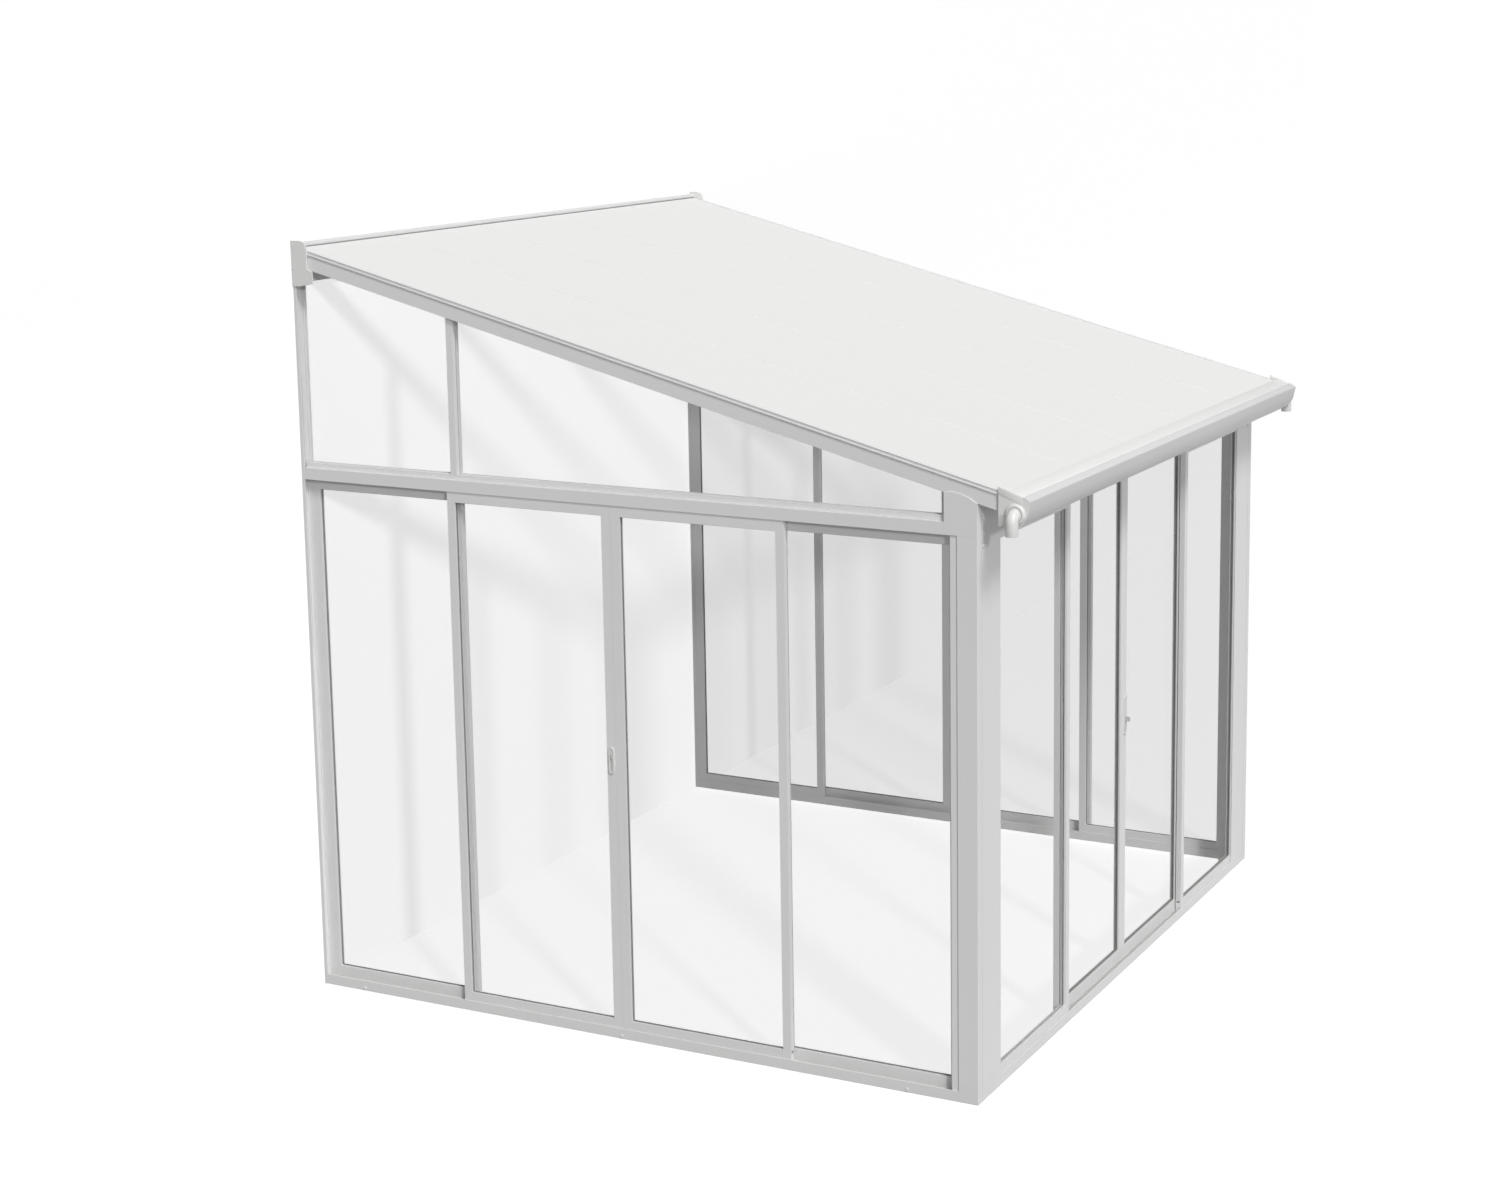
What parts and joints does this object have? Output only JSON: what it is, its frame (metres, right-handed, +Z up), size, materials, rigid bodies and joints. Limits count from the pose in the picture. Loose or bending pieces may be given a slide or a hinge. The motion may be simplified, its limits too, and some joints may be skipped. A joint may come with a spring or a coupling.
{
  "type": "lean-to sunroom",
  "caption": "Lean-to sunroom with a white metal frame, clear glazed walls, sliding doors on three sides, a sloping opal roof and a gutter with end outlets.",
  "frame": {"origin": "Bottom centre of the bounding box, on the floor plane.", "axes": "+X is to the right seen from the garden, +Y points to the house wall, +Z is up; the gutter faces -Y."},
  "size_m": [3.188, 3.129, 3.0398],
  "materials": {
    "white_frame": "white powder coat on aluminium, satin",
    "clear_pane": "clear, polished",
    "opal_sheet": "opal white multiwall sheet",
    "white_plastic": "white moulded plastic, low gloss",
    "white_nylon": "natural nylon",
    "lock_white": "light grey paint on aluminium, satin",
    "lock_grey": "grey plastic, low gloss",
    "screw_steel": "white painted screw heads"
  },
  "bodies": {
    "frame": {"beam_cap_screws": "screw_steel", "corner_gussets": "white_frame", "corner_post_left": "white_frame", "corner_post_right": "white_frame", "corner_screws": "screw_steel", "fixed_frames": "white_frame", "fixed_panes": "clear_pane", "front_beam": "white_frame", "gable_bars": "white_frame", "gable_mullions": "white_frame", "gable_panes": "clear_pane", "gutter": "white_plastic", "gutter_caps": "white_plastic", "gutter_elbows": "white_plastic", "head_front": "white_frame", "head_left": "white_frame", "head_right": "white_frame", "roof_bars": "white_frame", "roof_edge_trims": "white_frame", "roof_sheets": "opal_sheet", "side_rafter_left": "white_frame", "side_rafter_right": "white_frame", "sill_covers": "white_plastic", "sill_front": "white_frame", "sill_left": "white_frame", "sill_right": "white_frame", "wall_beam": "white_frame", "wall_beam_caps": "white_plastic", "wall_post_left": "white_frame", "wall_post_right": "white_frame"},
    "door_left_rear": {"door_left_rear": "white_frame", "door_left_rear_glass": "clear_pane", "lock_plate_left": "lock_white"},
    "door_left_rear_roller_a": {"door_left_rear_roller_a": "white_nylon"},
    "door_left_rear_roller_b": {"door_left_rear_roller_b": "white_nylon"},
    "lock_slide_left": {"lock_slide_left": "lock_grey"},
    "door_left_fore": {"door_left_fore": "white_frame", "door_left_fore_glass": "clear_pane"},
    "door_left_fore_roller_a": {"door_left_fore_roller_a": "white_nylon"},
    "door_left_fore_roller_b": {"door_left_fore_roller_b": "white_nylon"},
    "door_right_rear": {"door_right_rear": "white_frame", "door_right_rear_glass": "clear_pane", "lock_plate_right": "lock_white"},
    "door_right_rear_roller_a": {"door_right_rear_roller_a": "white_nylon"},
    "door_right_rear_roller_b": {"door_right_rear_roller_b": "white_nylon"},
    "lock_slide_right": {"lock_slide_right": "lock_grey"},
    "door_right_fore": {"door_right_fore": "white_frame", "door_right_fore_glass": "clear_pane"},
    "door_right_fore_roller_a": {"door_right_fore_roller_a": "white_nylon"},
    "door_right_fore_roller_b": {"door_right_fore_roller_b": "white_nylon"},
    "door_front_left": {"door_front_left": "white_frame", "door_front_left_glass": "clear_pane"},
    "door_front_left_roller_a": {"door_front_left_roller_a": "white_nylon"},
    "door_front_left_roller_b": {"door_front_left_roller_b": "white_nylon"},
    "door_front_right": {"door_front_right": "white_frame", "door_front_right_glass": "clear_pane", "lock_plate_front": "lock_white"},
    "door_front_right_roller_a": {"door_front_right_roller_a": "white_nylon"},
    "door_front_right_roller_b": {"door_front_right_roller_b": "white_nylon"},
    "lock_slide_front": {"lock_slide_front": "lock_grey"}
  },
  "joints": [
    {"name": "door_left_rear_slide", "type": "slide", "parent": "frame", "child": "door_left_rear", "axis": [0, 1, 0], "range_m": [0, 0.66]},
    {"name": "door_left_rear_roller_a_spin", "type": "hinge", "parent": "door_left_rear", "child": "door_left_rear_roller_a", "pos_m": [-1.514, 0.76515, 0.0183], "axis": [-1, 0, 0], "range_deg": [-1, 3152.27]},
    {"name": "door_left_rear_roller_b_spin", "type": "hinge", "parent": "door_left_rear", "child": "door_left_rear_roller_b", "pos_m": [-1.514, 0.2513, 0.0183], "axis": [-1, 0, 0], "range_deg": [-1, 3152.27]},
    {"name": "lock_slide_left_throw", "type": "slide", "parent": "door_left_rear", "child": "lock_slide_left", "axis": [0, 0, -1], "range_m": [0, 0.045]},
    {"name": "door_left_fore_slide", "type": "slide", "parent": "frame", "child": "door_left_fore", "axis": [0, -1, 0], "range_m": [0, 0.66]},
    {"name": "door_left_fore_roller_a_spin", "type": "hinge", "parent": "door_left_fore", "child": "door_left_fore_roller_a", "pos_m": [-1.514, 0.0307, 0.0183], "axis": [1, 0, 0], "range_deg": [-1, 3152.27]},
    {"name": "door_left_fore_roller_b_spin", "type": "hinge", "parent": "door_left_fore", "child": "door_left_fore_roller_b", "pos_m": [-1.514, -0.48315, 0.0183], "axis": [1, 0, 0], "range_deg": [-1, 3152.27]},
    {"name": "door_right_rear_slide", "type": "slide", "parent": "frame", "child": "door_right_rear", "axis": [0, 1, 0], "range_m": [0, 0.66]},
    {"name": "door_right_rear_roller_a_spin", "type": "hinge", "parent": "door_right_rear", "child": "door_right_rear_roller_a", "pos_m": [1.514, 0.76515, 0.0183], "axis": [-1, 0, 0], "range_deg": [-1, 3152.27]},
    {"name": "door_right_rear_roller_b_spin", "type": "hinge", "parent": "door_right_rear", "child": "door_right_rear_roller_b", "pos_m": [1.514, 0.2513, 0.0183], "axis": [-1, 0, 0], "range_deg": [-1, 3152.27]},
    {"name": "lock_slide_right_throw", "type": "slide", "parent": "door_right_rear", "child": "lock_slide_right", "axis": [0, 0, -1], "range_m": [0, 0.045]},
    {"name": "door_right_fore_slide", "type": "slide", "parent": "frame", "child": "door_right_fore", "axis": [0, -1, 0], "range_m": [0, 0.66]},
    {"name": "door_right_fore_roller_a_spin", "type": "hinge", "parent": "door_right_fore", "child": "door_right_fore_roller_a", "pos_m": [1.514, 0.0307, 0.0183], "axis": [1, 0, 0], "range_deg": [-1, 3152.27]},
    {"name": "door_right_fore_roller_b_spin", "type": "hinge", "parent": "door_right_fore", "child": "door_right_fore_roller_b", "pos_m": [1.514, -0.48315, 0.0183], "axis": [1, 0, 0], "range_deg": [-1, 3152.27]},
    {"name": "door_front_left_slide", "type": "slide", "parent": "frame", "child": "door_front_left", "axis": [-1, 0, 0], "range_m": [0, 0.59]},
    {"name": "door_front_left_roller_a_spin", "type": "hinge", "parent": "door_front_left", "child": "door_front_left_roller_a", "pos_m": [-0.576, -1.3165, 0.0183], "axis": [0, -1, 0], "range_deg": [-1, 2818.04]},
    {"name": "door_front_left_roller_b_spin", "type": "hinge", "parent": "door_front_left", "child": "door_front_left_roller_b", "pos_m": [-0.1103, -1.3165, 0.0183], "axis": [0, -1, 0], "range_deg": [-1, 2818.04]},
    {"name": "door_front_right_slide", "type": "slide", "parent": "frame", "child": "door_front_right", "axis": [1, 0, 0], "range_m": [0, 0.59]},
    {"name": "door_front_right_roller_a_spin", "type": "hinge", "parent": "door_front_right", "child": "door_front_right_roller_a", "pos_m": [0.576, -1.3165, 0.0183], "axis": [0, 1, 0], "range_deg": [-1, 2818.04]},
    {"name": "door_front_right_roller_b_spin", "type": "hinge", "parent": "door_front_right", "child": "door_front_right_roller_b", "pos_m": [0.1103, -1.3165, 0.0183], "axis": [0, 1, 0], "range_deg": [-1, 2818.04]},
    {"name": "lock_slide_front_throw", "type": "slide", "parent": "door_front_right", "child": "lock_slide_front", "axis": [0, 0, -1], "range_m": [0, 0.045]}
  ],
  "couplings": [
    {"joint": "door_left_rear_roller_a_spin", "follows": "door_left_rear_slide", "rad_per_m": 83.333},
    {"joint": "door_left_rear_roller_b_spin", "follows": "door_left_rear_slide", "rad_per_m": 83.333},
    {"joint": "door_left_fore_roller_a_spin", "follows": "door_left_fore_slide", "rad_per_m": 83.333},
    {"joint": "door_left_fore_roller_b_spin", "follows": "door_left_fore_slide", "rad_per_m": 83.333},
    {"joint": "door_right_rear_roller_a_spin", "follows": "door_right_rear_slide", "rad_per_m": 83.333},
    {"joint": "door_right_rear_roller_b_spin", "follows": "door_right_rear_slide", "rad_per_m": 83.333},
    {"joint": "door_right_fore_roller_a_spin", "follows": "door_right_fore_slide", "rad_per_m": 83.333},
    {"joint": "door_right_fore_roller_b_spin", "follows": "door_right_fore_slide", "rad_per_m": 83.333},
    {"joint": "door_front_left_roller_a_spin", "follows": "door_front_left_slide", "rad_per_m": 83.333},
    {"joint": "door_front_left_roller_b_spin", "follows": "door_front_left_slide", "rad_per_m": 83.333},
    {"joint": "door_front_right_roller_a_spin", "follows": "door_front_right_slide", "rad_per_m": 83.333},
    {"joint": "door_front_right_roller_b_spin", "follows": "door_front_right_slide", "rad_per_m": 83.333}
  ]
}
